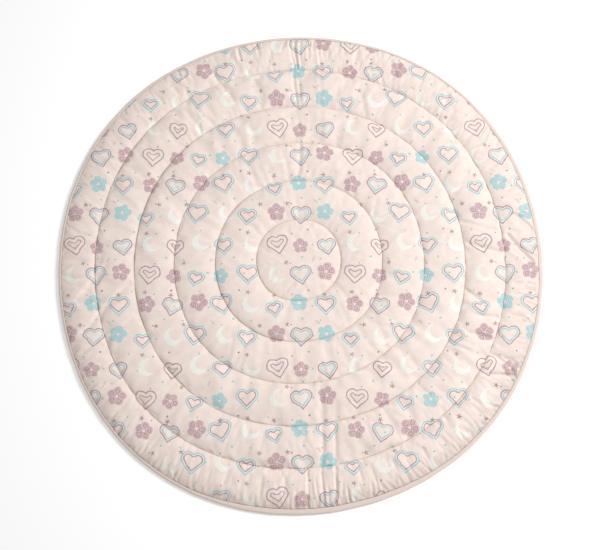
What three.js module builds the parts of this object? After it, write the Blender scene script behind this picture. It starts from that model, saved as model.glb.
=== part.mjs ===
// Round baby play mat: one wadded pad sewn through in five rings, and a folded strip bound
// over its edge. Millimetres, +Z up, underside on z = 0, +Y away from the viewer.
import * as THREE from "three";

// Sizes of the pad
const crown = 13; // height of the padding halfway between two rings
const outerCrown = 12; // the same in the narrower channel beside the binding
const seamTop = 5.2; // height of the sewn lines on the face
const seamLift = 2.2; // how far the sewn lines lift off the floor below
const seamPull = 9; // half width of the groove that a sewn line leaves below
const edgeRise = 26; // width over which the underside lifts to the binding
const sideSteepness = 6; // more gives steeper and narrower sides beside the sewn lines
const domeShare = 0.55; // share of the height that is a gentle dome, the rest is its steep sides

// Sizes of the binding
const bindingHeight = 8.6;
const widestBinding = 11;
const stripThickness = 1.5;
const outerArcSteps = 6;
const slotArcSteps = 4;

// Room between the pieces
const gap = 0.33; // between the pad's pressed rim and the slot that holds it
const legClearance = 0.5; // between the pad's last bulge and the tip of the binding's legs

// Sewn rings from the middle outwards, then the outer edge. Each is a circle of its radius,
// moved off centre and pulled a little oval, three-sided and square, as x and y parts.
const middle = { radius: 0, shift: [-5, 6], oval: [0, 0], three: [0, 0], square: [0, 0] };
const rings = [
  { radius: 95.4, shift: [-5, 6], oval: [0.3, 0.4], three: [0, -0.5], square: [-0.8, -0.2] },
  { radius: 190.2, shift: [-4.1, 5.7], oval: [0.4, 0.7], three: [-0.2, -0.8], square: [-1.7, -0.4] },
  { radius: 284.3, shift: [-3.9, 5.4], oval: [0.5, 1.2], three: [0.1, -1], square: [-2.4, -0.9] },
  { radius: 376.3, shift: [-3.5, 4.5], oval: [0.5, 1.3], three: [1.3, -1], square: [-2.6, -1.2] },
  { radius: 467.5, shift: [-3.2, 5.6], oval: [-0.8, 0.8], three: [1.9, -0.8], square: [-3.7, -1.3] },
];
const edge = {
  radius: 555.6, shift: [-1.3, 1.4], oval: [-4.8, 1.5], three: [1.3, 1.2], square: [-3.6, -1.4],
};

// Width of the folded strip round the mat, from the right and on towards the far edge. It is
// uneven, and narrowest at the near left.
const bindingWidths = [
  { degrees: 0, width: 10.5 },
  { degrees: 30, width: 10.5 },
  { degrees: 50, width: 7 },
  { degrees: 180, width: 7.5 },
  { degrees: 200, width: 6.5 },
  { degrees: 244, width: 6.5 },
  { degrees: 262, width: widestBinding },
  { degrees: 290, width: widestBinding },
  { degrees: 306, width: 9 },
  { degrees: 344, width: 9.5 },
  { degrees: 360, width: 10.5 },
];

// Slow swells of the padding round the mat, as shares of its height.
const swells = [
  { share: 0.04, turns: 3, lag: 1.7 },
  { share: 0.025, turns: 7, lag: 2.9 },
];

// Main creases left by folding for storage: a soft trough from one point to another.
const creases = [
  { x1: -14, y1: 538, x2: -8, y2: 374, depth: 2.4, halfWidth: 10 },
  { x1: -8, y1: 374, x2: 0, y2: 100, depth: 1.4, halfWidth: 9 },
  { x1: 12, y1: -470, x2: 12, y2: -540, depth: 2, halfWidth: 9 },
  { x1: 45, y1: -290, x2: 45, y2: -540, depth: 2.4, halfWidth: 9 },
  { x1: 75, y1: -318, x2: 73, y2: -540, depth: 2.6, halfWidth: 9 },
  { x1: 364, y1: 92, x2: 448, y2: 69, depth: 2, halfWidth: 9 },
  { x1: 379, y1: 43, x2: 444, y2: 21, depth: 2, halfWidth: 9 },
  { x1: 489, y1: 109, x2: 530, y2: 68, depth: 2.6, halfWidth: 9 },
  { x1: 470, y1: 60, x2: 528, y2: -6, depth: 2.8, halfWidth: 9 },
  { x1: 368, y1: -66, x2: 405, y2: -97, depth: 2, halfWidth: 9 },
  { x1: 388, y1: -126, x2: 440, y2: -132, depth: 2.4, halfWidth: 9 },
  { x1: 368, y1: -162, x2: 425, y2: -180, depth: 2.4, halfWidth: 9 },
  { x1: 432, y1: -220, x2: 492, y2: -240, depth: 2.6, halfWidth: 10 },
  { x1: 404, y1: -258, x2: 466, y2: -264, depth: 2.6, halfWidth: 10 },
  { x1: -496, y1: -88, x2: -436, y2: -4, depth: 2.2, halfWidth: 11 },
  { x1: -480, y1: -158, x2: -386, y2: -50, depth: 2, halfWidth: 11 },
  { x1: -200, y1: 454, x2: -154, y2: 392, depth: 1.8, halfWidth: 11 },
];

// Steps round the mat in degrees, closer where it is creased: to the right, at the far rim
// and at the near rim.
const firstAngle = -36;
const sectors = [
  { upTo: 12, step: 2 },
  { upTo: 84, step: 4 },
  { upTo: 96, step: 2 },
  { upTo: 260, step: 4 },
  { upTo: 288, step: 2 },
  { upTo: 324, step: 4 },
];
const coarseChannels = 3; // from the middle out, these have every second angle only

// Rows of points across the middle disc and across each channel, as shares of its width.
const middleShares = [0.25, 0.5, 0.7, 0.85, 0.95, 1];
const channelShares = [0.04, 0.12, 0.27, 0.5, 0.73, 0.88, 0.96, 1];

const padColor = 0xf3e2d9;
const bindingColor = 0xe3d0ca;

const degrees = Math.PI / 180;
const bands = [middle, ...rings, edge];

function anglesRound() {
  const angles = [];
  let angle = firstAngle;
  for (const { upTo, step } of sectors) {
    for (; angle < upTo; angle += step) angles.push(angle * degrees);
  }
  return angles;
}

const fineAngles = anglesRound();
const coarseAngles = fineAngles.filter((angle, i) => i % 2 === 0);
const anglesOf = (channel) => (channel < coarseChannels ? coarseAngles : fineAngles);

// How far a ring reaches from the origin in a direction.
function reach(ring, angle) {
  const wave = ([x, y], turns) => x * Math.cos(turns * angle) + y * Math.sin(turns * angle);
  const waves = wave(ring.shift, 1) + wave(ring.oval, 2) + wave(ring.three, 3) + wave(ring.square, 4);
  return ring.radius + waves;
}

function pointAt(radius, angle, z) {
  return new THREE.Vector3(radius * Math.cos(angle), radius * Math.sin(angle), z);
}

// A row of points all round, a little inside a ring.
function rowAt(ring, inset, z, angles) {
  return angles.map((angle) => pointAt(reach(ring, angle) - inset, angle, z));
}

function bindingWidthAt(angle) {
  const turned = THREE.MathUtils.euclideanModulo(angle / degrees, 360);
  const next = bindingWidths.findIndex((stretch) => stretch.degrees > turned);
  const from = bindingWidths[next - 1];
  const to = bindingWidths[next];
  const share = THREE.MathUtils.smoothstep(turned, from.degrees, to.degrees);
  return THREE.MathUtils.lerp(from.width, to.width, share);
}

// A row of points at the tips of the binding's legs, or a little further in.
function tipRow(clearance, z) {
  return fineAngles.map((angle) => {
    const inset = bindingWidthAt(angle) + clearance;
    return pointAt(reach(edge, angle) - inset, angle, z);
  });
}

function creaseDepth(point) {
  const flat = new THREE.Vector3(point.x, point.y, 0);
  const nearest = new THREE.Vector3();
  let deepest = 0;
  for (const { x1, y1, x2, y2, depth, halfWidth } of creases) {
    const line = new THREE.Line3(new THREE.Vector3(x1, y1, 0), new THREE.Vector3(x2, y2, 0));
    line.closestPointToPoint(flat, true, nearest);
    deepest = Math.max(deepest, depth * Math.exp(-((nearest.distanceTo(flat) / halfWidth) ** 2)));
  }
  return deepest;
}

// The swells start from nothing at the middle of the mat.
function swellAt(angle, channel, share) {
  const strength = channel === 0 ? share : 1;
  const waves = swells.map((swell) => swell.share * Math.sin(swell.turns * angle + swell.lag * channel));
  return 1 + strength * waves.reduce((sum, wave) => sum + wave);
}

// 0 on the top of the padding and 1 on a sewn line. The middle disc has one only at its rim.
function fallAcross(channel, share) {
  const out = channel === 0 ? share : Math.abs(2 * share - 1);
  const steepness = channel === 0 ? 2 * sideSteepness : sideSteepness;
  return domeShare * out ** 2 + (1 - domeShare) * out ** steepness;
}

// The face of one channel, in rows from its inner ring to its outer one. The middle disc is
// channel 0, and has a sewn ring on its outer side only.
function channelRows(channel) {
  const last = channel === rings.length;
  const endHeight = last ? rimTop : seamTop;
  const top = last ? outerCrown : crown;
  const shares = channel === 0 ? middleShares : channelShares;
  return shares.map((share) =>
    anglesOf(channel).map((angle) => {
      const inset = last ? bindingWidthAt(angle) + legClearance : 0;
      const from = reach(bands[channel], angle);
      const to = reach(bands[channel + 1], angle) - inset;
      const seam = seamTop + (endHeight - seamTop) * share;
      const point = pointAt(from + (to - from) * share, angle, seam);
      const padding = (top - seam) * swellAt(angle, channel, share) - creaseDepth(point);
      point.z += (1 - fallAcross(channel, share)) * padding;
      return point;
    }),
  );
}

// Rows joined into a triangle skin. A row of one point is a pole, and a row may have twice
// as many points as its neighbour. A skin that closes on itself joins its last row to its first.
function skin(rows, closes = false) {
  const starts = [];
  let count = 0;
  for (const points of rows) {
    starts.push(count);
    count += points.length;
  }
  const faces = [];
  const joins = closes ? rows.length : rows.length - 1;
  for (let i = 0; i < joins; i += 1) {
    const j = (i + 1) % rows.length;
    faces.push(...strip(starts[i], rows[i].length, starts[j], rows[j].length));
  }
  const geometry = new THREE.BufferGeometry().setFromPoints(rows.flat());
  geometry.setIndex(faces);
  geometry.computeVertexNormals();
  return geometry;
}

// The triangles between one row and the next, as point numbers.
function strip(startA, countA, startB, countB) {
  const a = (k) => startA + (k % countA);
  const b = (k) => startB + (k % countB);
  const faces = [];
  for (let k = 0; k < Math.max(countA, countB); k += 1) {
    const half = k / 2;
    if (countA === 1) faces.push(a(0), b(k), b(k + 1));
    else if (countB === 1) faces.push(a(k), b(0), a(k + 1));
    else if (countA === countB) faces.push(a(k), b(k), b(k + 1), a(k), b(k + 1), a(k + 1));
    else if (k % 2 === 1) continue;
    else if (countA < countB) {
      faces.push(a(half), b(k), b(k + 1), a(half), b(k + 1), a(half + 1));
      faces.push(a(half + 1), b(k + 1), b(k + 2));
    } else {
      faces.push(a(k), b(half), a(k + 1), a(k + 1), b(half), b(half + 1));
      faces.push(a(k + 1), b(half + 1), a(k + 2));
    }
  }
  return faces;
}

function clothMesh(name, geometry, color) {
  const cloth = new THREE.MeshStandardMaterial({ color, roughness: 0.92, metalness: 0 });
  const mesh = new THREE.Mesh(geometry, cloth);
  mesh.name = name;
  return mesh;
}

// Inside the binding the pad's rim is pressed to a tongue with a rounded end.
const tongueHalf = bindingHeight / 2 - stripThickness - gap;
const rimMiddle = bindingHeight / 2;
const rimTop = rimMiddle + tongueHalf;
const rimBottom = rimMiddle - tongueHalf;

function makePad() {
  const rows = [[new THREE.Vector3(...middle.shift, crown)]];
  for (let channel = 0; channel <= rings.length; channel += 1) rows.push(...channelRows(channel));
  rows.push(
    rowAt(edge, rimMiddle, rimTop, fineAngles),
    rowAt(edge, rimMiddle - tongueHalf, rimMiddle, fineAngles),
    rowAt(edge, rimMiddle, rimBottom, fineAngles),
    tipRow(legClearance, rimBottom),
    rowAt(edge, widestBinding + edgeRise, 0, fineAngles),
  );
  // The underside lies flat between the grooves under the sewn rings.
  for (let i = rings.length - 1; i >= 0; i -= 1) {
    rows.push(
      rowAt(rings[i], -seamPull, 0, anglesOf(i)),
      rowAt(rings[i], 0, seamLift, anglesOf(i)),
      rowAt(rings[i], seamPull, 0, anglesOf(i)),
    );
  }
  rows.push([new THREE.Vector3(...middle.shift, 0)]);
  return clothMesh("quilted_pad", skin(rows), padColor);
}

// One half circle of the folded strip's section, in rows from one leg to the other. A turn
// of -1 goes round the outside and down, and 1 goes back up along the slot.
function foldRows(radius, steps, turn) {
  const half = bindingHeight / 2;
  const rows = [];
  for (let i = 0; i <= steps; i += 1) {
    const angle = turn * (-90 + (180 * i) / steps) * degrees;
    const inset = half - radius * Math.cos(angle);
    rows.push(rowAt(edge, inset, half + radius * Math.sin(angle), fineAngles));
  }
  return rows;
}

// The strip round its outside from the upper leg's tip to the lower one's, and back along
// the slot that holds the pad.
function makeBinding() {
  const rows = [
    tipRow(0, bindingHeight),
    ...foldRows(bindingHeight / 2, outerArcSteps, -1),
    tipRow(0, 0),
    tipRow(0, stripThickness),
    ...foldRows(bindingHeight / 2 - stripThickness, slotArcSteps, 1),
    tipRow(0, bindingHeight - stripThickness),
  ];
  return clothMesh("edge_binding", skin(rows, true), bindingColor);
}

const playMat = new THREE.Group();
playMat.add(makePad(), makeBinding());

export default playMat;
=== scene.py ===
"""Round quilted baby play mat: a wadded pad sewn through in five rings, its folded edge
binding and its stitches. Laid out as an add-on and run as a script. Metres, with the
underside on z = 0 and +Y towards the top of the print."""
import bisect
import math
import random

import bmesh
import bpy
from mathutils import Matrix, Vector, kdtree, noise


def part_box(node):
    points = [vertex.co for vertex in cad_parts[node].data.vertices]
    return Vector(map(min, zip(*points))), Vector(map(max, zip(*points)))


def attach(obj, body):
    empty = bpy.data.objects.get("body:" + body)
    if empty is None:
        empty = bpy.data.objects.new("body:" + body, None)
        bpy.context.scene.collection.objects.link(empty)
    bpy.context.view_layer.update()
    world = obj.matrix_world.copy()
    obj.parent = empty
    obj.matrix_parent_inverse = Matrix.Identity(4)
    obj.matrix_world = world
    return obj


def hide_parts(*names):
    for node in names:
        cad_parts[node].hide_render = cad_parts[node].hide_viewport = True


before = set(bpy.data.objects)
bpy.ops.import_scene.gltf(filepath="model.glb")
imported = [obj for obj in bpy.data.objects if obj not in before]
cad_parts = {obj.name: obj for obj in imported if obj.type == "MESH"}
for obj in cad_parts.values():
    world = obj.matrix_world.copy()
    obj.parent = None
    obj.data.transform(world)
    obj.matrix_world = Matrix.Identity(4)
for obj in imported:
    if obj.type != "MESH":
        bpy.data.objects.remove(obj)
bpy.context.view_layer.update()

bl_info = {
    "name": "Quilted play mat",
    "version": (1, 0, 0),
    "blender": (4, 5, 0),
    "location": "3D View > Sidebar > Play mat",
    "description": "Builds a round quilted play mat with its binding, stitches and print",
    "category": "Add Mesh",
}

# The packed model gives the outer sizes.
_, pad_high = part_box("quilted_pad")
binding_low, binding_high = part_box("edge_binding")

# Sewn rings from the middle outwards, then the outer edge. Each is a circle of its radius,
# moved off centre and pulled a little oval, three-sided and square, as x and y parts.
MIDDLE = {"radius": 0.0, "shift": (-0.0050, 0.0060), "oval": (0, 0), "three": (0, 0), "square": (0, 0)}
RINGS = (
    {"radius": 0.0954, "shift": (-0.0050, 0.0060), "oval": (0.0003, 0.0004),
     "three": (0.0, -0.0005), "square": (-0.0008, -0.0002)},
    {"radius": 0.1902, "shift": (-0.0041, 0.0057), "oval": (0.0004, 0.0007),
     "three": (-0.0002, -0.0008), "square": (-0.0017, -0.0004)},
    {"radius": 0.2843, "shift": (-0.0039, 0.0054), "oval": (0.0005, 0.0012),
     "three": (0.0001, -0.0010), "square": (-0.0024, -0.0009)},
    {"radius": 0.3763, "shift": (-0.0035, 0.0045), "oval": (0.0005, 0.0013),
     "three": (0.0013, -0.0010), "square": (-0.0026, -0.0012)},
    {"radius": 0.4675, "shift": (-0.0032, 0.0056), "oval": (-0.0008, 0.0008),
     "three": (0.0019, -0.0008), "square": (-0.0037, -0.0013)},
)
EDGE = {"radius": 0.5556, "shift": (-0.0013, 0.0014), "oval": (-0.0048, 0.0015),
        "three": (0.0013, 0.0012), "square": (-0.0036, -0.0014)}
BANDS = (MIDDLE, *RINGS, EDGE)
BAND_RADII = [band["radius"] for band in BANDS]

# Width of the binding round the mat: degrees from the right and on towards the far edge, and
# the width there.
BINDING_WIDTHS = (
    (0, 0.0105), (30, 0.0105), (50, 0.0070), (180, 0.0075), (200, 0.0065), (244, 0.0065),
    (262, 0.0110), (290, 0.0110), (306, 0.0090), (344, 0.0095), (360, 0.0105),
)

# Slow swells of the padding round the mat, as shares of its height.
SWELLS = (
    {"share": 0.04, "turns": 3, "lag": 1.7},
    {"share": 0.025, "turns": 7, "lag": 2.9},
)

# Folds run from one point to another. The rows are in millimetres, under these columns.
FOLD_COLUMNS = ("start_x", "start_y", "end_x", "end_y", "depth", "half_width")


def fold_table(*rows):
    """The rows with their columns named, in metres."""
    return [dict(zip(FOLD_COLUMNS, (size / 1000 for size in row))) for row in rows]


# Creases left by folding for storage, as soft troughs.
CREASES = fold_table(
    (-14, 538, -8, 374, 0.8, 10),
    (-8, 374, 0, 100, 0.5, 9),
    (12, -470, 12, -540, 1.2, 9),
    (45, -290, 45, -540, 1.4, 9),
    (75, -318, 73, -540, 1.4, 9),
    (364, 92, 448, 69, 2, 9),
    (379, 43, 444, 21, 2, 9),
    (489, 109, 530, 68, 3.3, 9),
    (470, 60, 528, -6, 3.7, 9),
    (368, -66, 405, -97, 2.6, 9),
    (388, -126, 440, -132, 3.2, 9),
    (368, -162, 425, -180, 3.2, 9),
    (432, -220, 492, -240, 3.6, 10),
    (404, -258, 466, -264, 3.6, 10),
    (-496, -88, -436, -4, 2.2, 11),
    (-480, -158, -386, -50, 2, 11),
    (-200, 454, -154, 392, 1.8, 11),
)

# Narrow wrinkles in the cloth alone.
WRINKLES = fold_table(
    (-21, 541, -14, 452, 1.6, 3),
    (-11, 540, -6, 448, 1.8, 2.8),
    (-15, 470, -6, 372, 2.1, 3.4),
    (3, 541, 1, 470, 1.3, 2.8),
    (-2, 452, 3, 374, 1.5, 3.2),
    (44, 541, 47, 486, 1.4, 3),
    (24, 541, 20, 498, 1.2, 3),
    (-9, 372, 2, 275, 1.5, 3.6),
    (6, 360, 9, 290, 0.9, 3.6),
    (-2, 283, -4, 196, 1.1, 4.2),
    (16, 276, 12, 225, 0.8, 4.2),
    (-8, 150, -3, 92, 0.9, 4.5),
    (50, 495, 50, 267, 0.8, 4.5),
    (13, -462, 10, -543, 1.6, 3),
    (40, -288, 43, -372, 1.2, 3.8),
    (46, -380, 45, -462, 1.4, 3.4),
    (44, -472, 48, -543, 1.7, 2.8),
    (75, -317, 72, -462, 1.2, 3.4),
    (74, -470, 71, -541, 1.8, 2.8),
    (29, -486, 35, -543, 1.4, 2.8),
    (58, -500, 60, -542, 1.4, 2.6),
    (88, -492, 84, -540, 1.4, 2.8),
    (-12, -505, -16, -544, 1.4, 2.6),
    (363, 93, 448, 69, 1.7, 3.6),
    (372, 76, 430, 55, 1, 3.4),
    (379, 43, 444, 21, 1.4, 3.6),
    (489, 109, 524, 74, 2.4, 3),
    (482, 122, 508, 112, 1.2, 3),
    (469, 61, 526, -4, 2.7, 3.4),
    (476, 36, 512, -4, 1.7, 3),
    (524, -28, 498, -60, 1.6, 3.2),
    (278, 61, 312, 59, 1.2, 4),
    (277, 38, 316, 38, 1.2, 4),
    (368, -67, 405, -97, 1.9, 3.4),
    (392, -124, 438, -131, 2, 3.4),
    (368, -162, 423, -180, 2, 3.4),
    (323, -187, 369, -202, 1.3, 4),
    (432, -220, 465, -247, 2.2, 3.4),
    (456, -225, 493, -225, 1.6, 3.2),
    (404, -258, 469, -262, 2.1, 3.4),
    (299, -312, 329, -308, 1.2, 4),
    (-503, -90, -440, -2, 1.1, 4.2),
    (-484, -158, -387, -48, 1.1, 4.2),
    (-442, -191, -379, -131, 1, 4.5),
    (-248, 379, -200, 329, 1.1, 4.5),
    (-202, 456, -154, 392, 1.2, 4.2),
    (-293, 342, -257, 292, 1, 4.5),
    (170, 495, 200, 430, 1.3, 3.8),
    (218, 490, 231, 448, 1.3, 3.8),
    (329, 405, 362, 362, 1.3, 3.8),
)

# Rows of points across the middle disc and across each channel, as shares of its width.
MIDDLE_SHARES = (0.12, 0.25, 0.38, 0.5, 0.62, 0.73, 0.82, 0.895, 0.955, 0.987, 1.0)
CHANNEL_SHARES = (0.013, 0.042, 0.09, 0.16, 0.26, 0.38, 0.5, 0.62, 0.74, 0.84, 0.91, 0.958, 0.987, 1.0)
# The groove under a seam: places across it and heights, as shares of its half width and lift.
GROOVE = ((1.2, 0), (0.5, 0.4), (0, 1), (-0.5, 0.4), (-1.2, 0))
STEPS_ROUND = 112
DOUBLED_BEYOND = (0.1902, 0.3763, 0.4675)  # outside these radii the points round the face double


def length(name, description, default):
    return bpy.props.FloatProperty(name=name, description=description, default=default,
                                   min=0.0, unit="LENGTH", precision=4)


def number(name, description, default):
    return bpy.props.FloatProperty(name=name, description=description, default=default)


def count(name, description, default):
    return bpy.props.IntProperty(name=name, description=description, default=default, min=0)


def angle(name, description, turn):
    """An angle property given in degrees."""
    return bpy.props.FloatProperty(name=name, description=description, default=math.radians(turn),
                                   subtype="ANGLE")


def cloth_color(name, description, red, green, blue):
    """A colour property given as display values from 0 to 255."""
    linear = [((part / 255 + 0.055) / 1.055) ** 2.4 for part in (red, green, blue)]
    return bpy.props.FloatVectorProperty(name=name, description=description, default=linear,
                                         subtype="COLOR", size=3, min=0.0, max=1.0)


class PadSizes(bpy.types.PropertyGroup):
    """Sizes of the quilted pad"""
    crown: length("Padding height", "Height halfway between two sewn rings", 0.013)
    outer_crown: length("Outer padding height", "The same beside the binding", 0.012)
    seam_top: length("Seam height", "Height of the sewn lines on the face", 0.0044)
    seam_lift: length("Seam lift", "How far the sewn lines lift off the floor below", 0.0022)
    seam_pull: length("Groove below", "Half width of the groove that a seam leaves below", 0.009)
    edge_rise: length("Edge rise", "Width over which the underside lifts to the binding", 0.026)
    side_steepness: number("Side steepness", "More gives steeper and narrower sides beside the seams", 6.0)
    dome_share: number("Dome share", "Share of the height that is a gentle dome", 0.55)
    lip: length("Seam lip", "How far the cloth swells up right beside a seam", 0.0008)
    wander: length("Seam wander", "How far a seam wanders to either side", 0.0009)
    hold: number("Wadding hold", "How firmly the wadding holds the face in place", 0.05)
    ease: number("Ease", "Share by which the face is cut larger than the wadding", 0.04)
    pucker: length("Pucker height", "Height of the small gathers along the seams", 0.0009)
    crumple: length("Crumple", "Height of the fine unevenness all over the face", 0.0005)
    calm: number("Calm middle", "Strength of the gathers at the middle, against 1 at the edge", 0.3)
    most_move: length("Largest settling", "Farthest that a point of the face settles", 0.004)
    wrinkle_count: count("Faint wrinkles", "Short wrinkles strewn over the face", 260)
    gather_count: count("Gathers", "Short gathers beside the binding", 150)


class BindingSizes(bpy.types.PropertyGroup):
    """Sizes of the edge binding"""
    height: length("Height", "Height of the folded strip", binding_high.z - binding_low.z)
    width: length("Width", "Width of the strip's legs where it is widest", 0.011)
    thickness: length("Thickness", "Thickness of the folded cloth", 0.0015)
    gap: length("Gap", "Room between the strip and the pad's rim", 0.0003)
    leg_clearance: length("Clearance", "Room between the strip's legs and the padding", 0.0001)
    step: length("Step", "How far the face lies below the strip's top where it is caught", 0.0007)
    pucker: length("Pucker height", "Height of the small gathers along the strip", 0.0005)


class StitchSizes(bpy.types.PropertyGroup):
    """Sizes of the sewing"""
    pitch: length("Stitch pitch", "Distance from one stitch to the next", 0.0036)
    stitch: length("Stitch length", "Length of one stitch", 0.0030)
    thread: length("Thread", "Thickness of the thread", 0.0004)


class ClothColors(bpy.types.PropertyGroup):
    """Colours of the cloth and of the print's inks"""
    ground: cloth_color("Ground", "Ground of the face", 248, 233, 225)
    ground_shade: cloth_color("Ground mottle", "Slightly deeper patches of the ground", 242, 224, 214)
    binding: cloth_color("Binding", "Plain cloth of the binding and the underside", 235, 218, 210)
    thread: cloth_color("Thread", "Sewing thread", 214, 190, 182)
    # painted shade: this tint stands in for the shadow deep in the narrow fold of a seam and beside the
    # binding
    painted_seam_shade: cloth_color("Seam shade", "Tint deep in the fold of a seam", 150, 128, 120)
    blue: cloth_color("Blue", "Blue ink", 158, 209, 214)
    mauve: cloth_color("Mauve", "Mauve ink", 188, 149, 160)
    taupe: cloth_color("Taupe", "Ink of the stars", 160, 138, 133)
    mint: cloth_color("Mint", "Ink of the small dots", 160, 208, 186)
    white: cloth_color("Off-white", "Off-white ink", 246, 246, 239)


class StageSettings(bpy.types.PropertyGroup):
    """Camera and light"""
    elevation: angle("Elevation", "Camera's height above the floor", 75)
    distance: length("Distance", "Camera to the middle of the mat", 2.32)
    lens: number("Lens", "Focal length in millimetres", 61.56)
    key: number("Key light", "Power of the large soft lamp in watts", 77.5)
    key_side: angle("Key side", "Direction of the lamp, from the right towards the far edge", 13)
    key_distance: length("Key distance", "Large soft lamp to the middle of the mat", 3.4)
    overhead: number("Overhead light", "Power of the soft lamp over the mat in watts", 2.4)
    overhead_height: length("Overhead height", "Height of that lamp over the floor", 1.3)
    sky: number("Sky", "Strength of the even light from all round", 0.43)


def limited(share):
    return min(max(share, 0.0), 1.0)


def radius_of(vert):
    return math.hypot(vert.co.x, vert.co.y)


def angle_of(vert):
    return math.atan2(vert.co.y, vert.co.x)


def caught_radius(binding):
    """Where the face goes under the binding, on the evenly round mat."""
    return EDGE["radius"] - (binding.width + binding.leg_clearance)


def noise_round(angle, bumps, layer):
    """Noise that closes round the mat."""
    return noise.noise(Vector((math.cos(angle) * bumps, math.sin(angle) * bumps, layer)))


def wave(ring, angle):
    """How far a ring reaches past its own radius in a direction."""
    parts = ((ring["shift"], 1), (ring["oval"], 2), (ring["three"], 3), (ring["square"], 4))
    even = sum(x * math.cos(turns * angle) + y * math.sin(turns * angle) for (x, y), turns in parts)
    bumps = ring["radius"] / 0.035
    return even + bpy.context.scene.playmat_pad.wander * noise_round(angle, bumps, bumps)


def channel_at(radius, inset=0.0):
    """The channel that an even radius lies in, and how far across it is, from 0 to 1."""
    channel = min(max(bisect.bisect_left(BAND_RADII, radius - 1e-6) - 1, 0), len(RINGS))
    inner = BAND_RADII[channel]
    outer = BAND_RADII[channel + 1] - (inset if channel == len(RINGS) else 0.0)
    return channel, (radius - inner) / (outer - inner)


def unevenness(radius, angle):
    channel, share = channel_at(min(radius, EDGE["radius"]))
    return wave(BANDS[channel], angle) * (1 - share) + wave(BANDS[channel + 1], angle) * share


def binding_width_at(angle):
    turned = math.degrees(angle) % 360
    after = next(i for i, (degrees, _) in enumerate(BINDING_WIDTHS) if degrees > turned)
    (start, start_width), (end, end_width) = BINDING_WIDTHS[after - 1:after + 1]
    share = (turned - start) / (end - start)
    return start_width + (end_width - start_width) * share * share * (3 - 2 * share)


def strip_shift(radius, angle):
    """How far a point near the binding moves out where the strip is narrower than its widest."""
    binding = bpy.context.scene.playmat_binding
    last_ring = RINGS[-1]["radius"]
    tip = EDGE["radius"] - binding.width
    fold = EDGE["radius"] - binding.height / 2 - binding.gap
    inside = (radius - last_ring) / (caught_radius(binding) - last_ring)
    outside = (fold - radius) / (fold - tip)
    return (binding.width - binding_width_at(angle)) * limited(min(inside, outside))


def pull_uneven(bm):
    """Moves an evenly round piece onto the mat's slightly uneven rings."""
    for vert in bm.verts:
        radius, angle = radius_of(vert), angle_of(vert)
        if radius < 1e-6:
            vert.co.xy = MIDDLE["shift"]
        else:
            vert.co.xy *= 1 + (unevenness(radius, angle) + strip_shift(radius, angle)) / radius


def swell_at(angle, channel, share):
    strength = share if channel == 0 else 1.0
    return 1 + strength * sum(
        swell["share"] * math.sin(swell["turns"] * angle + swell["lag"] * channel) for swell in SWELLS)


def off_fold(fold, x, y):
    """How many half widths a place lies from the middle of a fold."""
    along_x, along_y = fold["end_x"] - fold["start_x"], fold["end_y"] - fold["start_y"]
    x -= fold["start_x"]
    y -= fold["start_y"]
    share = limited((x * along_x + y * along_y) / (along_x ** 2 + along_y ** 2))
    return math.hypot(x - along_x * share, y - along_y * share) / fold["half_width"]


def crease_depth(x, y):
    return max(crease["depth"] * math.exp(-off_fold(crease, x, y) ** 2) for crease in CREASES)


def fall_across(pad, channel, share):
    """0 on the top of the padding and 1 on a seam. The middle disc has one only at its rim."""
    out = share if channel == 0 else abs(2 * share - 1)
    steepness = 2 * pad.side_steepness if channel == 0 else pad.side_steepness
    return pad.dome_share * out ** 2 + (1 - pad.dome_share) * out ** steepness


def rim_heights(binding):
    """Middle, top and bottom of the pad's rim inside the binding."""
    middle = binding.height / 2
    tongue = middle - binding.thickness - binding.gap
    return middle, middle + tongue, middle - tongue


def seam_distance(radius):
    return min(abs(radius - ring["radius"]) for ring in RINGS)


def face_base(pad, binding, radius):
    """The face at a radius: height of its seams and its top, fall, lip, channel and share."""
    channel, share = channel_at(radius, binding.width + binding.leg_clearance)
    last = channel == len(RINGS)
    caught = binding.height - binding.step
    seam = pad.seam_top + ((caught - pad.seam_top) * share if last else 0.0)
    top = pad.outer_crown if last else pad.crown
    fall = fall_across(pad, channel, min(share, 1.0))
    off = seam_distance(radius)
    lip_reach, lip_start = 0.005, 0.001
    lip = pad.lip * math.exp(-off / lip_reach) * (1 - math.exp(-off / lip_start))
    return seam, top, fall, lip, channel, share


def arc(across, up, radius, first, last, step):
    """Points of a section on an arc round a middle, at every step between two angles."""
    turns = [math.radians(turn) for turn in range(first, last + (1 if step > 0 else -1), step)]
    return [(across + radius * math.cos(turn), up + radius * math.sin(turn)) for turn in turns]


def pad_profile(pad, binding):
    """Points of the pad's section from the middle of the face to the middle underneath."""
    rim_middle, rim_top, rim_bottom = rim_heights(binding)
    edge, caught = EDGE["radius"], caught_radius(binding)
    radii = [0.0]
    for inner, outer in zip(BAND_RADII, (*BAND_RADII[1:-1], caught)):
        shares = MIDDLE_SHARES if inner == 0 else CHANNEL_SHARES
        radii += [inner + (outer - inner) * share for share in shares]
    points = []
    for radius in radii:
        seam, top, fall, lip, _, _ = face_base(pad, binding, radius)
        points.append((radius, seam + (1 - fall) * (top - seam) + lip))
    points.append((caught + binding.leg_clearance / 4, rim_top))
    points += arc(edge - rim_middle, rim_middle, rim_top - rim_middle, 90, -90, -45)
    points.append((caught, rim_bottom))
    points.append((edge - binding.width - pad.edge_rise, 0.0))
    for ring in reversed(RINGS):
        for share, lift in GROOVE:
            points.append((ring["radius"] + share * pad.seam_pull, lift * pad.seam_lift))
    points.append((0.0, 0.0))
    return points


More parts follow.
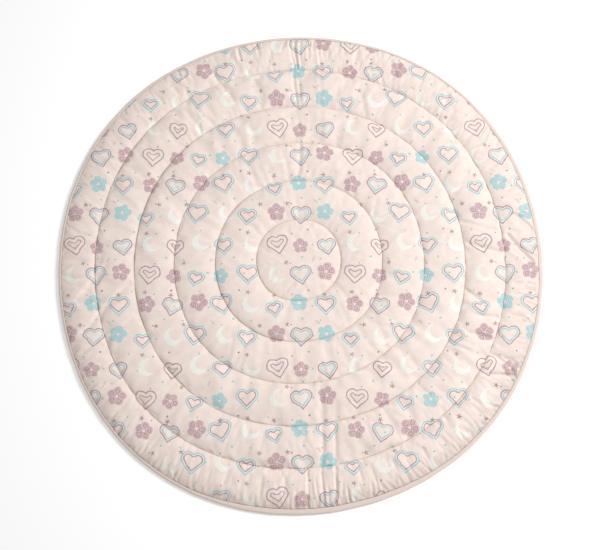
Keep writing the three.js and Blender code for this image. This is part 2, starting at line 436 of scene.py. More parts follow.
def spin_profile(bm, points, steps, closed=False):
    verts = [bm.verts.new((radius, 0.0, z)) for radius, z in points]
    edges = [bm.edges.new(pair) for pair in zip(verts, verts[1:])]
    if closed:
        edges.append(bm.edges.new((verts[-1], verts[0])))
    bmesh.ops.spin(bm, geom=verts + edges, cent=(0, 0, 0), axis=(0, 0, 1), angle=2 * math.pi,
                   steps=steps, use_merge=True, use_duplicate=False)
    bmesh.ops.remove_doubles(bm, verts=bm.verts, dist=1e-6)
    bmesh.ops.recalc_face_normals(bm, faces=bm.faces)


def on_face(pad, z):
    """Whether a height belongs to the face and the rim, and not to the underside."""
    return z > (pad.seam_top + pad.seam_lift) / 2


def double_round(bm, pad, beyond):
    """Cuts every edge that runs round the face outside a radius in two."""
    edges = [edge for edge in bm.edges
             if radius_of(edge.verts[0]) > beyond + 0.0005
             and on_face(pad, edge.verts[0].co.z)
             and abs(radius_of(edge.verts[0]) - radius_of(edge.verts[1])) < 1e-5
             and abs(edge.verts[0].co.z - edge.verts[1].co.z) < 1e-6]
    made = bmesh.ops.subdivide_edges(bm, edges=edges, cuts=1, use_grid_fill=True)
    for vert in {item for item in made["geom_inner"] if isinstance(item, bmesh.types.BMVert)}:
        # a cut lands on the chord, so it goes back out to the row that it is on
        rounds = [radius_of(edge.other_vert(vert)) for edge in vert.link_edges
                  if abs(edge.other_vert(vert).co.z - vert.co.z) < 1e-6]
        nearest = min(rounds, key=lambda r: abs(r - radius_of(vert)))
        vert.co.xy *= nearest / radius_of(vert)


def shape_face(bm, pad, binding):
    """Swells and creases on the face, worked out before the mat is pulled uneven."""
    caught = caught_radius(binding)
    for vert in bm.verts:
        radius = radius_of(vert)
        if not on_face(pad, vert.co.z) or radius > caught:
            continue
        seam, top, fall, lip, channel, share = face_base(pad, binding, radius)
        swollen = (top - seam) * swell_at(angle_of(vert), channel, share)
        padding = swollen - crease_depth(vert.co.x, vert.co.y)
        vert.co.z = seam + (1 - fall) * padding + lip


def is_seam(radius):
    return seam_distance(radius) < 0.0002


def hold_weights(bm, pad, binding):
    """1 where the face is sewn down or lies below, and the wadding's light hold elsewhere."""
    sewn_beyond = caught_radius(binding) - 0.0005
    weights = []
    for vert in bm.verts:
        radius = radius_of(vert)
        sewn = radius > sewn_beyond or is_seam(radius)
        weights.append(1.0 if sewn or not on_face(pad, vert.co.z) else pad.hold)
    return weights


def note_radius(bm):
    """Stores the even radius of each point, before the mat is pulled uneven."""
    even = bm.verts.layers.float.new("even_radius")
    for vert in bm.verts:
        vert[even] = radius_of(vert)


def mark_seams(bm):
    """Keeps the sewn lines sharp when the cloth is made finer."""
    sharp = bm.edges.layers.float.new("crease_edge")
    for edge in bm.edges:
        if is_seam(radius_of(edge.verts[0])) and is_seam(radius_of(edge.verts[1])):
            edge[sharp] = 1.0


def lay_uv(bm):
    """The cloth's own flat coordinates in metres, so that the print follows it."""
    layer = bm.loops.layers.uv.new("cloth")
    for face in bm.faces:
        for loop in face.loops:
            loop[layer].uv = loop.vert.co.xy


def new_piece(name, bm):
    mesh = bpy.data.meshes.new(name)
    bm.to_mesh(mesh)
    bm.free()
    piece = bpy.data.objects.new(name, mesh)
    bpy.context.collection.objects.link(piece)
    return piece


def adjust(thing, **values):
    for name, value in values.items():
        setattr(thing, name, value)


def calmed(pad, radius):
    """Strength of the gathers at a radius, less in the middle."""
    return pad.calm + (1 - pad.calm) * radius / EDGE["radius"]


def settle_face(piece, weights, pad):
    """Lets the face, cut a little large, settle over the wadding between its seams."""
    group = piece.vertex_groups.new(name="held")
    for index, weight in enumerate(weights):
        group.add([index], weight, "REPLACE")
    cloth = piece.modifiers.new("Settling", "CLOTH")
    adjust(cloth.settings, quality=5, mass=0.15, tension_stiffness=15, compression_stiffness=15,
           shear_stiffness=5, bending_stiffness=0.2, shrink_min=-pad.ease, vertex_group_mass="held",
           use_pressure=True, uniform_pressure_force=1.0)
    cloth.settings.effector_weights.gravity = 0
    cloth.collision_settings.use_collision = False
    frames = 20
    adjust(cloth.point_cache, frame_start=1, frame_end=frames)
    scene = bpy.context.scene
    for step in range(1, frames + 1):
        scene.frame_set(step)
    settled = piece.evaluated_get(bpy.context.evaluated_depsgraph_get()).data
    moves = [settled.vertices[i].co - vert.co for i, vert in enumerate(piece.data.vertices)]
    piece.modifiers.remove(cloth)
    piece.vertex_groups.clear()
    scene.frame_set(1)
    rows = {}
    radii = [round(item.value, 4) for item in piece.data.attributes["even_radius"].data]
    for radius, move, weight in zip(radii, moves, weights):
        if weight < 1.0:
            rows.setdefault(radius, []).append(move.z)
    # the gathers stay, while the even rise of each row would only make the pad thicker
    rises = {radius: sum(row) / len(row) for radius, row in rows.items()}
    for vert, radius, move, weight in zip(piece.data.vertices, radii, moves, weights):
        if weight < 1.0:
            move.z -= rises[radius]
            far = move.length
            vert.co += move * (calmed(pad, radius) * min(far, pad.most_move) / far if far > 0 else 0.0)


def make_finer(piece):
    """One applied subdivision."""
    finer = piece.modifiers.new("Finer", "SUBSURF")
    finer.levels = finer.render_levels = 1
    evaluated = piece.evaluated_get(bpy.context.evaluated_depsgraph_get())
    mesh = bpy.data.meshes.new_from_object(evaluated)
    piece.modifiers.clear()
    old = piece.data
    piece.data = mesh
    bpy.data.meshes.remove(old)


def gather_seams(piece, pad, binding):
    """Small gathers square to the seams, and a fine unevenness all over the face."""
    lines = BAND_RADII[1:-1] + [caught_radius(binding)]
    ripple_length, ripple_reach, sewn_width = 0.011, 0.010, 0.002
    patches, bumps, fine_bumps = 9, 28, 65  # to the metre
    rim_strength, least_patch = 1.6, 0.15
    radii = piece.data.attributes["even_radius"].data
    for vert, even in zip(piece.data.vertices, radii):
        radius = even.value
        if not on_face(pad, vert.co.z) or radius > lines[-1]:
            continue
        x, y, _ = vert.co
        nearest = min(range(len(lines)), key=lambda i: abs(lines[i] - radius))
        off = abs(lines[nearest] - radius)
        free = 1 - math.exp(-(off / sewn_width) ** 2)
        side = nearest * 2 + (radius > lines[nearest])
        ripple = noise_round(angle_of(vert), lines[nearest] / ripple_length, side * 3.7)
        patch = 0.5 + noise.noise(Vector((x * patches, y * patches, 5.0 + side)))
        rim = rim_strength if nearest == len(RINGS) else 1.0
        height = 2 * pad.pucker * rim * calmed(pad, radius) * ripple
        gather = height * math.exp(-off / ripple_reach) * max(patch, least_patch)
        place = Vector((x, y, 2.0))
        uneven = noise.noise(place * bumps) + 0.45 * noise.noise(place * fine_bumps)
        vert.co.z += (gather + pad.crumple * uneven) * free


def fold_from(radius, angle, heading, run, depth, half_width):
    """A fold that starts at a place on the mat and runs on in a direction."""
    x, y = radius * math.cos(angle), radius * math.sin(angle)
    end_x, end_y = x + run * math.cos(heading), y + run * math.sin(heading)
    return dict(zip(FOLD_COLUMNS, (x, y, end_x, end_y, depth, half_width)))


def chance_wrinkles(pad):
    """Faint short wrinkles strewn over the face, most of them running away from a seam."""
    dice = random.Random(11)
    wrinkles = []
    for _ in range(pad.wrinkle_count):
        ring = dice.choice(BANDS[1:])
        angle = dice.uniform(0, 2 * math.pi)
        side = dice.choice((-1, 1)) if ring is not EDGE else -1
        start = ring["radius"] + side * dice.uniform(0.004, 0.018)
        run = dice.uniform(0.018, 0.060)
        heading = angle + dice.gauss(0, 0.45) + (math.pi if side < 0 else 0)
        wrinkles.append(fold_from(start, angle, heading, run, depth=dice.uniform(0.0004, 0.0010),
                                  half_width=dice.uniform(0.0035, 0.0055)))
    return wrinkles


def rim_gathers(pad):
    """Short sharp gathers where the face is caught under the binding, most at the near edge."""
    dice = random.Random(23)
    gathers = []
    while len(gathers) < pad.gather_count:
        angle = dice.uniform(0, 2 * math.pi)
        nearness = (1 - math.sin(angle)) / 2
        if dice.random() > 0.25 + 0.75 * nearness ** 2:
            continue
        start = EDGE["radius"] + unevenness(EDGE["radius"], angle) - binding_width_at(angle)
        run = dice.uniform(0.010, 0.034)
        heading = angle + math.pi + dice.gauss(0, 0.3)
        gathers.append(fold_from(start, angle, heading, run, depth=dice.uniform(0.0006, 0.0013),
                                 half_width=dice.uniform(0.0024, 0.0036)))
    return gathers


def wrinkle_face(piece, pad, binding):
    """The narrow wrinkles: a slightly wavy fold with a low ridge on either side."""
    ridge_at, ridge_height = 1.8, 0.5  # in half widths, and as a share of the depth
    waves = ((24, 0.0045), (60, 0.0018))  # to the metre, and how far they bend a fold
    sewn_width, tip_width = 0.003, 0.002
    caught = caught_radius(binding)
    noise.seed_set(29)  # or else noise_vector follows the clock
    verts = piece.data.vertices
    radii = piece.data.attributes["even_radius"].data
    tree = kdtree.KDTree(len(verts))
    for vert in verts:
        tree.insert((vert.co.x, vert.co.y, 0.0), vert.index)
    tree.balance()
    for wrinkle in (*WRINKLES, *chance_wrinkles(pad), *rim_gathers(pad)):
        start = Vector((wrinkle["start_x"], wrinkle["start_y"], 0.0))
        end = Vector((wrinkle["end_x"], wrinkle["end_y"], 0.0))
        reach = (end - start).length / 2 + 4 * wrinkle["half_width"]
        for place, index, _ in tree.find_range((start + end) / 2, reach):
            vert = verts[index]
            if not on_face(pad, vert.co.z):
                continue
            bend = sum((noise.noise_vector(place * turns) * far for turns, far in waves), Vector())
            off = off_fold(wrinkle, place.x + bend.x, place.y + bend.y)
            height = ridge_height * math.exp(-(off - ridge_at) ** 2) - math.exp(-off ** 2)
            even = radii[index].value
            free = 1 - math.exp(-(seam_distance(even) / sewn_width) ** 2)
            vert.co.z += wrinkle["depth"] * height * free * limited((caught - even) / tip_width)


def math_method(operation, swapped=False):
    """A method of Value that adds a Math node."""
    def method(self, other):
        return calc(operation, other, self) if swapped else calc(operation, self, other)
    return method


class Value:
    """A number, place or colour in a node tree. Sums with it add Math nodes."""
    __add__, __sub__, __mul__, __truediv__, __gt__, __lt__ = map(
        math_method, ("ADD", "SUBTRACT", "MULTIPLY", "DIVIDE", "GREATER_THAN", "LESS_THAN"))
    __rsub__ = math_method("SUBTRACT", swapped=True)

    def __init__(self, socket):
        self.socket = socket

    def __abs__(self):
        return calc("ABSOLUTE", self)


def feed(socket, value):
    """Links a socket to a value in its node tree, or sets it to a plain one."""
    if isinstance(value, Value):
        socket.id_data.links.new(value.socket, socket)
    else:
        socket.default_value = value


def add_node(tree, kind, *values, **settings):
    made = tree.nodes.new("ShaderNode" + kind)
    adjust(made, **settings)
    for socket, value in zip(made.inputs, values):
        feed(socket, value)
    return made


def tree_of(*values):
    return next(value.socket.id_data for value in values if isinstance(value, Value))


def calc(operation, *values, clamp=False):
    """A Math node. One value at least is in a node tree."""
    made = add_node(tree_of(*values), "Math", *values, operation=operation, use_clamp=clamp)
    return Value(made.outputs[0])


def ramp(value, slope, start):
    """A straight rise or fall, held between 0 and 1."""
    return calc("MULTIPLY_ADD", value, slope, start, clamp=True)


def vector_calc(operation, *values):
    made = add_node(tree_of(*values), "VectorMath", *values, operation=operation)
    return Value(made.outputs["Value" if operation in {"LENGTH", "DISTANCE"} else "Vector"])


def point(x, y, z=0.0):
    return Value(add_node(tree_of(x, y), "CombineXYZ", x, y, z).outputs[0])


def parts(vector):
    return [Value(socket) for socket in add_node(tree_of(vector), "SeparateXYZ", vector).outputs]


def opaque(color):
    return (*color, 1.0)


def mix_color(share, under, over, way="MIX"):
    made = add_node(tree_of(share, under, over), "Mix", data_type="RGBA", blend_type=way)
    for index, value in ((0, share), (6, under), (7, over)):
        feed(made.inputs[index], value)
    return Value(made.outputs[2])


def mix_number(share, low, high):
    made = add_node(tree_of(share, low, high), "Mix")
    for index, value in ((0, share), (2, low), (3, high)):
        feed(made.inputs[index], value)
    return Value(made.outputs[0])


def soft_noise(place, scale, detail=2.0, roughness=0.5, output="Fac", dimensions="3D"):
    made = add_node(tree_of(place), "TexNoise", place, noise_dimensions=dimensions)
    for name, value in (("Scale", scale), ("Detail", detail), ("Roughness", roughness)):
        feed(made.inputs[name], value)
    return Value(made.outputs[output])


def new_group(name, inputs, outputs):
    """An empty shader node group with named sockets, what it is given and where that goes."""
    tree = bpy.data.node_groups.new(name, "ShaderNodeTree")
    for label, kind in inputs:
        tree.interface.new_socket(label, in_out="INPUT", socket_type="NodeSocket" + kind)
    for label in outputs:
        tree.interface.new_socket(label, in_out="OUTPUT", socket_type="NodeSocketFloat")
    given = {socket.name: Value(socket) for socket in tree.nodes.new("NodeGroupInput").outputs}
    return tree, given, tree.nodes.new("NodeGroupOutput").inputs


def use_group(group, **values):
    made = add_node(tree_of(*values.values()), "Group", node_tree=group)
    for name, value in values.items():
        feed(made.inputs[name.capitalize()], value)
    return {socket.name: Value(socket) for socket in made.outputs}


def inked(distance, edge_softness=0.5):
    """1 inside a shape, 0 outside, from its signed distance in millimetres."""
    return ramp(distance, -1 / edge_softness, 0.5)


def stroke(distance, middle, half_width):
    """A line that runs along a shape's outline, its middle at a distance from the edge."""
    return inked(abs(distance - middle) - half_width)


def thrown(dice, reach):
    """A shift by chance, up to half a reach to either side."""
    return vector_calc("MULTIPLY", vector_calc("SUBTRACT", dice, (0.5, 0.5, 0.5)), (reach, reach, 0.0))


def scatter(place, pitch, start, seed, jitter, tilt):
    """Places on staggered rows: the point as seen from the nearest one, and two dice. The
    dice repeat after four rows and four columns."""
    repeat = 4.0
    x, y, _ = parts(place)
    down = (y - start[1]) / pitch[1]
    row = calc("FLOOR", down)
    across = (x - start[0]) / pitch[0] - calc("FLOORED_MODULO", row, 2.0) * 0.5
    column = calc("FLOOR", across)
    cell = point(calc("FLOORED_MODULO", column, repeat), calc("FLOORED_MODULO", row, repeat), float(seed))
    dice = Value(add_node(tree_of(place), "TexWhiteNoise", cell, noise_dimensions="3D").outputs["Color"])
    near = point((calc("FRACT", across) - 0.5) * pitch[0], (calc("FRACT", down) - 0.5) * pitch[1])
    red, green, blue = parts(dice)
    turned = add_node(tree_of(place), "VectorRotate", rotation_type="Z_AXIS")
    feed(turned.inputs["Vector"], vector_calc("SUBTRACT", near, thrown(dice, jitter)))
    feed(turned.inputs["Angle"], (blue - 0.5) * tilt)
    return Value(turned.outputs[0]), red, green


def heart_group():
    """Signed distance to a heart of height 1 that stands on its point."""
    tree, given, out = new_group("Heart outline", [("Point", "Vector")], ["Distance"])
    x, y, _ = parts(given["Point"])
    x = abs(x)
    folded = point(x, y)
    lobe = vector_calc("DISTANCE", folded, (0.25, 0.75, 0.0)) - 0.25 * math.sqrt(2)
    half = calc("MAXIMUM", x + y, 0.0) * 0.5
    to_dip = vector_calc("DISTANCE", folded, (0.0, 1.0, 0.0))
    to_side = vector_calc("DISTANCE", folded, point(half, half))
    side = calc("MINIMUM", to_dip, to_side) * calc("SIGN", x - y)
    feed(out["Distance"], mix_number(x + y > 1.0, side, lobe))
    return tree


def fold_round(place, sectors):
    """Turns a point into the nearest of a number of equal sectors round the middle."""
    x, y, _ = parts(place)
    angle = calc("ARCTAN2", x, y)
    sector = 2 * math.pi / sectors
    rest = angle - calc("ROUND", angle / sector) * sector
    reach = vector_calc("LENGTH", place)
    return point(reach * calc("COSINE", rest), reach * calc("SINE", rest))


def flower_group():
    """Signed distance to a flower of five round petals and radius 1."""
    tree, given, out = new_group("Flower outline", [("Point", "Vector")], ["Distance"])
    petal_middle, petal_radius = 0.58, 0.42
    petal = fold_round(given["Point"], 5)
    feed(out["Distance"], vector_calc("DISTANCE", petal, (petal_middle, 0.0, 0.0)) - petal_radius)
    return tree


def rays_group(rays):
    """Distance to short strokes that stand round a point, from one reach to another."""
    tree, given, out = new_group(
        f"Rays {rays}", [("Point", "Vector"), ("Start", "Float"), ("End", "Float")], ["Distance"])
    folded = fold_round(given["Point"], rays)
    held = calc("MINIMUM", calc("MAXIMUM", parts(folded)[0], given["Start"]), given["End"])
    feed(out["Distance"], vector_calc("DISTANCE", folded, point(held, 0.0)))
    return tree


def drawn_at(size, outline, near):
    """Signed distance in millimetres to an outline drawn at a size."""
    return use_group(outline, point=vector_calc("DIVIDE", near, point(size, size, size)))["Distance"] * size


def print_group():
    """A small scattered nursery print. Takes a place on the cloth in millimetres and gives
    how much of each ink lies there. Sizes are in millimetres."""
    tree, given, out = new_group("Nursery print", [("Place", "Vector")],
                                 ["Blue", "Mauve", "White", "Taupe", "Mint"])
    place = given["Place"]
    wobble = soft_noise(place, 0.07, output="Color", dimensions="2D")
    drawn = vector_calc("ADD", place, thrown(wobble, 4.0))

    # Line hearts, blue outside and mauve inside or the other way round
    near, red, green = scatter(drawn, pitch=(115, 70), start=(0, 0), seed=1, jitter=15, tilt=0.5)
    size = green * 15.0 + 31.0
    near = vector_calc("ADD", near, point(0.0, size * 0.5))
    distance = drawn_at(size, heart_group(), near)
    outer = stroke(distance, middle=-1.4, half_width=1.45)
    halo = stroke(distance, middle=-3.7, half_width=1.3)
    inner = stroke(distance, middle=-6.0, half_width=1.35)
    core = stroke(distance, middle=-10.6, half_width=1.1)
    swapped, plain = red > 0.5, red > 0.72
    blue_lines = mix_number(swapped, outer, inner) * (1.0 - plain)
    mauve_lines = calc("MAXIMUM", mix_number(swapped, inner, outer), core * plain)

    # Filled flowers, blue with white dots or mauve with nested outlines, and white moons
    near, red, green = scatter(drawn, pitch=(115, 70), start=(57.5, 6), seed=2, jitter=14, tilt=1.2)
    distance = drawn_at(green * 4.0 + 16.5, flower_group(), near)
    petals = inked(distance)
    is_blue, is_white = red < 0.38, red > 0.76
    is_mauve = 1.0 - is_blue - is_white
    grid = vector_calc("FRACTION", vector_calc("MULTIPLY", near, (0.24, 0.24, 0.0)))
    dots = inked(vector_calc("DISTANCE", grid, (0.5, 0.5, 0.0)) * 4.2 - 0.95)
    nested = inked(abs(calc("FRACT", distance / 4.0) - 0.5) * 4.0 - 0.45)
    bite = 15.0 - vector_calc("DISTANCE", near, (8.0, 5.0, 0.0))
    moon = inked(calc("MAXIMUM", vector_calc("LENGTH", near) - 19.0, bite)) * is_white
    blue_fill = petals * is_blue * (1.0 - dots)
    mauve_fill = petals * is_mauve * (1.0 - nested)
    bare = 1.0 - calc("MAXIMUM", petals, moon)

    # Small stars, dots and fans of strokes in the gaps between
    near, red, _ = scatter(drawn, pitch=(57.5, 70), start=(28.75, 35), seed=3, jitter=12, tilt=3.0)
    stars = use_group(rays_group(5), point=near, start=0.6, end=4.6)["Distance"] - 0.9
    stars = inked(stars) * (red < 0.45)
    fans = use_group(rays_group(14), point=near, start=3.0, end=8.0)["Distance"] - 0.45
    fans = inked(fans) * (parts(near)[1] > 3.0) * (red > 0.78)
    near, red, green = scatter(drawn, pitch=(38.3, 35), start=(10, 20), seed=4, jitter=16, tilt=1.0)
    spot = inked(vector_calc("LENGTH", near) - (green * 1.1 + 1.4)) * bare

    feed(out["Blue"], calc("MAXIMUM", blue_lines, blue_fill))
    feed(out["Mauve"], calc("MAXIMUM", calc("MAXIMUM", mauve_lines, mauve_fill), fans))
    feed(out["White"], calc("MAXIMUM", moon, halo * 0.7))
    feed(out["Taupe"], calc("MAXIMUM", stars, spot * (red > 0.72)))
    feed(out["Mint"], spot * (red < 0.38))
    return tree


def painted_seam_shade_group(binding):
    """Painted shade in the folds of the sewn rings and beside the binding, from a place's even radius in
    metres.
    """
    line_width, soft_width, soft_share = 0.0012, 0.008, 0.1
    edge_line_width, edge_soft_width, edge_soft_share = 0.0030, 0.036, 0.38
    tree, given, out = new_group("Painted seam shade", [("Radius", "Float"), ("Place", "Vector")], ["Shade"])
    radius, place = given["Radius"], given["Place"]
    # each ring gets a narrow painted shadow line and a soft painted shade beside it
    nearest = abs(radius - RINGS[0]["radius"])
    for ring in RINGS[1:]:
        nearest = calc("MINIMUM", nearest, abs(radius - ring["radius"]))
    line = ramp(nearest, -1 / line_width, 1.15)
    soft = calc("POWER", ramp(nearest, -1 / soft_width, 1.0), 2.0)
    patchy = ramp(soft_noise(place, 0.02, detail=3.0), 2.4, -0.35)
    # the painted shade is deepest to the left and right, where the light falls across the seams, and less
    # towards the near and far edges and the middle
    across, along, _ = parts(vector_calc("NORMALIZE", place))
    side_shade_strength = (across * across * 0.78 + 0.22) * (radius * 1.3 + 0.4)
    seams = soft * soft_share + line * patchy * side_shade_strength
    # beside the binding a painted shade, deepest at the near edge and towards the left
    off = abs(radius - caught_radius(binding))
    caught = ramp(along, -0.4, across * -0.2 + 0.5)
    edge_line = ramp(off, -1 / edge_line_width, 0.9)
    edge_soft = calc("POWER", ramp(off, -1 / edge_soft_width, 1.0), 1.5) * edge_soft_share
    edge = calc("MAXIMUM", edge_line, edge_soft) * caught
    feed(out["Shade"], calc("MINIMUM", edge + seams, 1.0))
    return tree


def weave_group():
    """A plain weave. Takes a place on the cloth in millimetres, gives a height and a shade."""
    threads = 2.4  # to the millimetre
    tree, given, out = new_group("Plain weave", [("Place", "Vector")], ["Height", "Shade"])
    x, y, _ = parts(vector_calc("MULTIPLY", given["Place"], (threads * math.pi, threads * math.pi, 0.0)))
    over = ramp(calc("SINE", x) * calc("SINE", y), 0.5, 0.5)
    woven = mix_number(over, abs(calc("COSINE", x)), abs(calc("COSINE", y)))
    slub = soft_noise(given["Place"], 0.9, detail=3.0)
    feed(out["Height"], slub * 0.6 + woven)
    feed(out["Shade"], slub * 0.06 + 0.97)
    return tree


def new_material(name, roughness, sheen=0.25):
    material = bpy.data.materials.new(name)
    material.use_nodes = True
    tree = material.node_tree
    tree.nodes.clear()
    shader = add_node(tree, "BsdfPrincipled")
    for label, value in (("Roughness", roughness), ("Sheen Weight", sheen), ("Sheen Roughness", 0.5),
                         ("Specular IOR Level", 0.25)):
        feed(shader.inputs[label], value)
    add_node(tree, "OutputMaterial", Value(shader.outputs[0]))
    return material, tree, shader.inputs


def cloth_finish(shader, place, color):
    """Weave height and thread shade over a colour."""
    thread_height = 0.00008
    woven = use_group(bpy.data.node_groups.get("Plain weave") or weave_group(), place=place)
    shade = woven["Shade"]
    feed(shader["Base Color"], mix_color(1.0, color, point(shade, shade, shade), way="MULTIPLY"))
    raised = add_node(tree_of(place), "Bump")
    feed(raised.inputs["Strength"], 1.0)
    feed(raised.inputs["Distance"], thread_height)
    feed(raised.inputs["Height"], woven["Height"])
    feed(shader["Normal"], Value(raised.outputs[0]))


def cloth_place(tree):
    """The cloth's flat coordinates in millimetres."""
    flat = Value(add_node(tree, "UVMap", uv_map="cloth").outputs[0])
    return vector_calc("MULTIPLY", flat, (1000.0, 1000.0, 0.0))


def printed_material(colors, binding):
    material, tree, shader = new_material("printed cotton", roughness=0.85)
    place = cloth_place(tree)
    inks = use_group(print_group(), place=place)
    strength = ramp(soft_noise(place, 0.12), 0.5, 0.65)
    patches = ramp(soft_noise(place, 0.055, detail=5.0, roughness=0.62), 3.0, -1.0)
    color = mix_color(patches, opaque(colors.ground_shade), opaque(colors.ground))
    for ink in ("white", "blue", "mauve", "taupe", "mint"):
        color = mix_color(inks[ink.capitalize()] * strength, color, opaque(getattr(colors, ink)))
    radius = Value(add_node(tree, "Attribute", attribute_name="even_radius").outputs["Fac"])
    # painted shade along the seams and beside the binding, mixed into the colour below
    fold = use_group(painted_seam_shade_group(binding), radius=radius, place=place)["Shade"]
    cloth_finish(shader, place, mix_color(fold, color, opaque(colors.painted_seam_shade)))
    return material


def plain_material(name, color):
    material, tree, shader = new_material(name, roughness=0.88)
    place = cloth_place(tree)
    darker = opaque(part * 0.95 for part in color)
    cloth_finish(shader, place, mix_color(soft_noise(place, 0.03), darker, opaque(color)))
    return material


def thread_material(color):
    material, tree, shader = new_material("sewing thread", roughness=0.6, sheen=0.1)
    twist = soft_noise(Value(add_node(tree, "TexCoord").outputs["Object"]), 2500.0)
    darker = opaque(part * 0.85 for part in color)
    feed(shader["Base Color"], mix_color(twist, darker, opaque(color)))
    return material


def finish_piece(piece, slot, *nodes):
    for polygon in piece.data.polygons:
        polygon.use_smooth = True
    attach(piece, "root")
    if nodes:
        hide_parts(*nodes)


class PLAYMAT_OT_pad(bpy.types.Operator):
    """Make the quilted pad with its printed face and plain underside"""
    bl_idname = "playmat.pad"
    bl_label = "Quilted pad"

    def execute(self, context):
        scene = context.scene
        pad, binding, colors = scene.playmat_pad, scene.playmat_binding, scene.playmat_colors
        bm = bmesh.new()
        spin_profile(bm, pad_profile(pad, binding), STEPS_ROUND)
        for beyond in DOUBLED_BEYOND:
            double_round(bm, pad, beyond)
        mark_seams(bm)
        weights = hold_weights(bm, pad, binding)
        shape_face(bm, pad, binding)
        note_radius(bm)
        pull_uneven(bm)
        lay_uv(bm)
        for face in bm.faces:
            face.material_index = 0 if on_face(pad, face.calc_center_median().z) else 1
        piece = new_piece("quilted_pad_cloth", bm)
        piece.data.materials.append(printed_material(colors, binding))
        piece.data.materials.append(plain_material("underside cotton", colors.binding))
        settle_face(piece, weights, pad)
        make_finer(piece)
        gather_seams(piece, pad, binding)
        wrinkle_face(piece, pad, binding)
        finish_piece(piece, "printed_cotton", "quilted_pad")
        return {"FINISHED"}


def binding_profile(binding):
    """The folded strip's section round its outside, and back along the slot for the pad."""
    edge = EDGE["radius"]
    half = binding.height / 2
    slot_half = half - binding.thickness
    leg = (binding.width + half) / 2
    points = [(edge - binding.width, binding.height), (edge - leg, binding.height)]
    points += arc(edge - half, half, half, 90, -90, -18)
    points += [(edge - leg, 0.0), (edge - binding.width, 0.0)]
    points += [(edge - binding.width, binding.thickness), (edge - leg, binding.thickness)]
    points += arc(edge - half, half, slot_half, -90, 90, 30)
    points += [(edge - leg, binding.height - binding.thickness),
               (edge - binding.width, binding.height - binding.thickness)]
    return points


def gather_binding(bm, binding):
    """Small gathers along the strip, strongest where it is sewn to the face."""
    ripple_length, slow_bumps = 0.010, 18
    for vert in bm.verts:
        if vert.co.z < binding.height / 2:
            continue
        angle = angle_of(vert)
        ripple = noise_round(angle, EDGE["radius"] / ripple_length, 1.5)
        slow = noise_round(angle, slow_bumps, 7.5)
        strength = min((EDGE["radius"] - radius_of(vert)) / binding.width, 1.0)
        vert.co.z += binding.pucker * ((ripple + 0.3) * strength + 0.6 * slow)


def lay_strip_uv(bm, binding):
    """Flat coordinates of the bias strip: along it and across it, in metres."""
    layer = bm.loops.layers.uv.new("cloth")
    edge, diagonal = EDGE["radius"], math.sqrt(0.5)
    for face in bm.faces:
        middle = face.calc_center_median()
        base = math.atan2(middle.y, middle.x)
        for loop in face.loops:
            along = (base + math.remainder(angle_of(loop.vert) - base, 2 * math.pi)) * edge
            across = edge - radius_of(loop.vert)
            if loop.vert.co.z <= binding.height / 2:
                across = -across
            loop[layer].uv = ((along + across) * diagonal, (along - across) * diagonal)


class PLAYMAT_OT_binding(bpy.types.Operator):
    """Make the strip that is folded over the pad's edge"""
    bl_idname = "playmat.binding"
    bl_label = "Edge binding"

    def execute(self, context):
        binding, colors = context.scene.playmat_binding, context.scene.playmat_colors
        bm = bmesh.new()
        spin_profile(bm, binding_profile(binding), STEPS_ROUND * 4, closed=True)
        lay_strip_uv(bm, binding)
        gather_binding(bm, binding)
        pull_uneven(bm)
        piece = new_piece("edge_binding_cloth", bm)
        piece.data.materials.append(plain_material("binding cotton", colors.binding))
        finer = piece.modifiers.new("Finer", "SUBSURF")
        finer.levels = finer.render_levels = 1
        finish_piece(piece, "binding_cotton", "edge_binding")
        return {"FINISHED"}


def stitch_ring(bm, radius, z, stitches):
    """One ring of short stitches, each a small rounded length of thread."""
    ring = bmesh.new()
    half = stitches.stitch / 2
    thick = stitches.thread / 2
    made = bmesh.ops.create_cone(ring, cap_ends=True, cap_tris=False, segments=6, radius1=thick,
                                 radius2=thick, depth=stitches.stitch)
    lying = Matrix.Rotation(math.pi / 2, 3, "X")
    bmesh.ops.rotate(ring, verts=made["verts"], cent=(0, 0, 0), matrix=lying)
    lengthwise = [edge for edge in ring.edges if abs(edge.verts[0].co.y - edge.verts[1].co.y) > half]
    bmesh.ops.subdivide_edges(ring, edges=lengthwise, cuts=3)
    for vert in ring.verts:
        along = vert.co.y / half
        slim = 1 - 0.35 * along ** 4
        vert.co.x *= slim
        vert.co.z = vert.co.z * slim - thick * along ** 4
    bmesh.ops.translate(ring, verts=ring.verts, vec=(radius, 0, z))
    # a short run of stitches first, then the run round the ring
    runs = 24
    run = round(2 * math.pi * radius / stitches.pitch / runs)
    for step, copies in ((2 * math.pi / runs / run, run - 1), (2 * math.pi / runs, runs - 1)):
        bmesh.ops.spin(ring, geom=ring.verts[:] + ring.edges[:] + ring.faces[:], cent=(0, 0, 0),
                       axis=(0, 0, 1), angle=step * copies, steps=copies, use_duplicate=True)
    mesh = bpy.data.meshes.new("stitch ring")
    ring.to_mesh(mesh)
    ring.free()
    bm.from_mesh(mesh)
    bpy.data.meshes.remove(mesh)


class PLAYMAT_OT_stitches(bpy.types.Operator):
    """Sew the rings through the pad, on its face and on its underside"""
    bl_idname = "playmat.stitches"
    bl_label = "Stitches"

    def execute(self, context):
        scene = context.scene
        pad, stitches = scene.playmat_pad, scene.playmat_stitches
        thread = thread_material(scene.playmat_colors.thread)
        for name, z in (("face_stitches", pad.seam_top + stitches.thread / 3),
                        ("underside_stitches", pad.seam_lift - stitches.thread / 3)):
            bm = bmesh.new()
            for ring in RINGS:
                stitch_ring(bm, ring["radius"], z, stitches)
            pull_uneven(bm)
            piece = new_piece(name, bm)
            piece.data.materials.append(thread)
            finish_piece(piece, "printed_cotton")
        return {"FINISHED"}


def hang_lamp(name, power, size, place):
    """A round soft lamp that faces the middle of the mat."""
    light = bpy.data.lights.new(name, "AREA")
    adjust(light, energy=power, shape="DISK", size=size)
    lamp = bpy.data.objects.new(name, light)
    bpy.context.scene.collection.objects.link(lamp)
    lamp.location = place
    lamp.rotation_euler = place.to_track_quat("Z", "Y").to_euler()


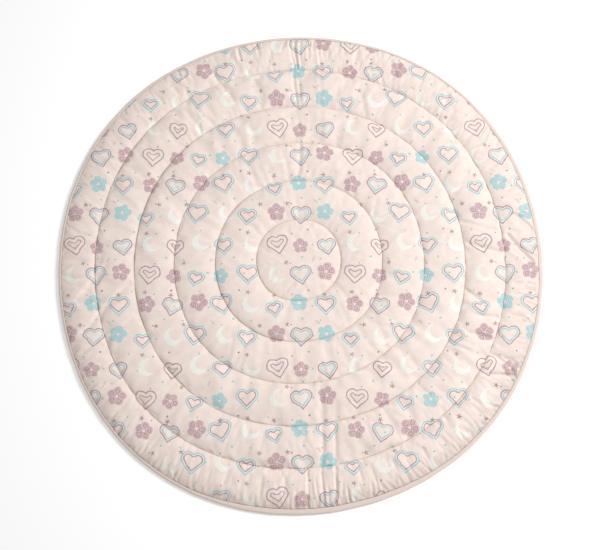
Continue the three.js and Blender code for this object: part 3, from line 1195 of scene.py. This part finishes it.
class PLAYMAT_OT_stage(bpy.types.Operator):
    """Set the floor, the light and the camera"""
    bl_idname = "playmat.stage"
    bl_label = "Stage"

    def execute(self, context):
        scene = context.scene
        stage = scene.playmat_stage
        bm = bmesh.new()
        floor_radius, floor_gap = 8.0, 0.0002
        bmesh.ops.create_circle(bm, cap_ends=True, segments=96, radius=floor_radius)
        bmesh.ops.translate(bm, verts=bm.verts, vec=(0, 0, -floor_gap))
        floor = new_piece("floor", bm)
        material, _, shader = new_material("pale floor", roughness=0.9, sheen=0.0)
        white = (1.0, 1.0, 1.0, 1.0)
        feed(shader["Base Color"], white)
        feed(shader["Emission Color"], white)
        floor_glow = 0.17
        feed(shader["Emission Strength"], floor_glow)
        floor.data.materials.append(material)

        world = bpy.data.worlds.new("Studio")
        scene.world = world
        world.use_nodes = True
        sky = world.node_tree.nodes["Background"]
        feed(sky.inputs["Color"], white)
        feed(sky.inputs["Strength"], stage.sky)

        key_steepness, key_width, overhead_width = 0.9, 1.2, 1.0
        toward = Vector((math.cos(stage.key_side), math.sin(stage.key_side), key_steepness)).normalized()
        hang_lamp("Key", stage.key, key_width, toward * stage.key_distance)
        hang_lamp("Overhead", stage.overhead, overhead_width, Vector((0, 0, stage.overhead_height)))

        lens = bpy.data.cameras.new("Camera")
        adjust(lens, lens=stage.lens, sensor_width=36.0)
        camera = bpy.data.objects.new("Camera", lens)
        scene.collection.objects.link(camera)
        middle = Vector((*MIDDLE["shift"], pad_high.z / 2))
        back = Vector((0, -math.cos(stage.elevation), math.sin(stage.elevation)))
        camera.location = middle + back * stage.distance
        aim_off = Vector((0.003, -0.036, 0))
        aim = middle + aim_off
        camera.rotation_euler = (camera.location - aim).to_track_quat("Z", "Y").to_euler()
        scene.camera = camera
        scene.view_settings.view_transform = "Standard"
        return {"FINISHED"}


OPERATORS = (PLAYMAT_OT_stage, PLAYMAT_OT_pad, PLAYMAT_OT_binding, PLAYMAT_OT_stitches)
SETTINGS = (("playmat_pad", PadSizes), ("playmat_binding", BindingSizes), ("playmat_stitches", StitchSizes),
            ("playmat_colors", ClothColors), ("playmat_stage", StageSettings))


class PLAYMAT_PT_panel(bpy.types.Panel):
    """Steps and sizes of the play mat"""
    bl_label = "Play mat"
    bl_space_type = "VIEW_3D"
    bl_region_type = "UI"
    bl_category = "Play mat"

    def draw(self, context):
        for operator in OPERATORS:
            self.layout.operator(operator.bl_idname)
        for attribute, group in SETTINGS:
            box = self.layout.box()
            box.label(text=group.__doc__)
            for name in group.__annotations__:
                box.prop(getattr(context.scene, attribute), name)


def register():
    for _, group in SETTINGS:
        bpy.utils.register_class(group)
    for operator in OPERATORS:
        bpy.utils.register_class(operator)
    bpy.utils.register_class(PLAYMAT_PT_panel)
    for attribute, group in SETTINGS:
        setattr(bpy.types.Scene, attribute, bpy.props.PointerProperty(type=group))


def unregister():
    for attribute, _ in SETTINGS:
        delattr(bpy.types.Scene, attribute)
    bpy.utils.unregister_class(PLAYMAT_PT_panel)
    for operator in OPERATORS:
        bpy.utils.unregister_class(operator)
    for _, group in SETTINGS:
        bpy.utils.unregister_class(group)


def main():
    register()
    bpy.ops.playmat.stage()
    bpy.ops.playmat.pad()
    bpy.ops.playmat.binding()
    bpy.ops.playmat.stitches()


if __name__ == "__main__":
    main()
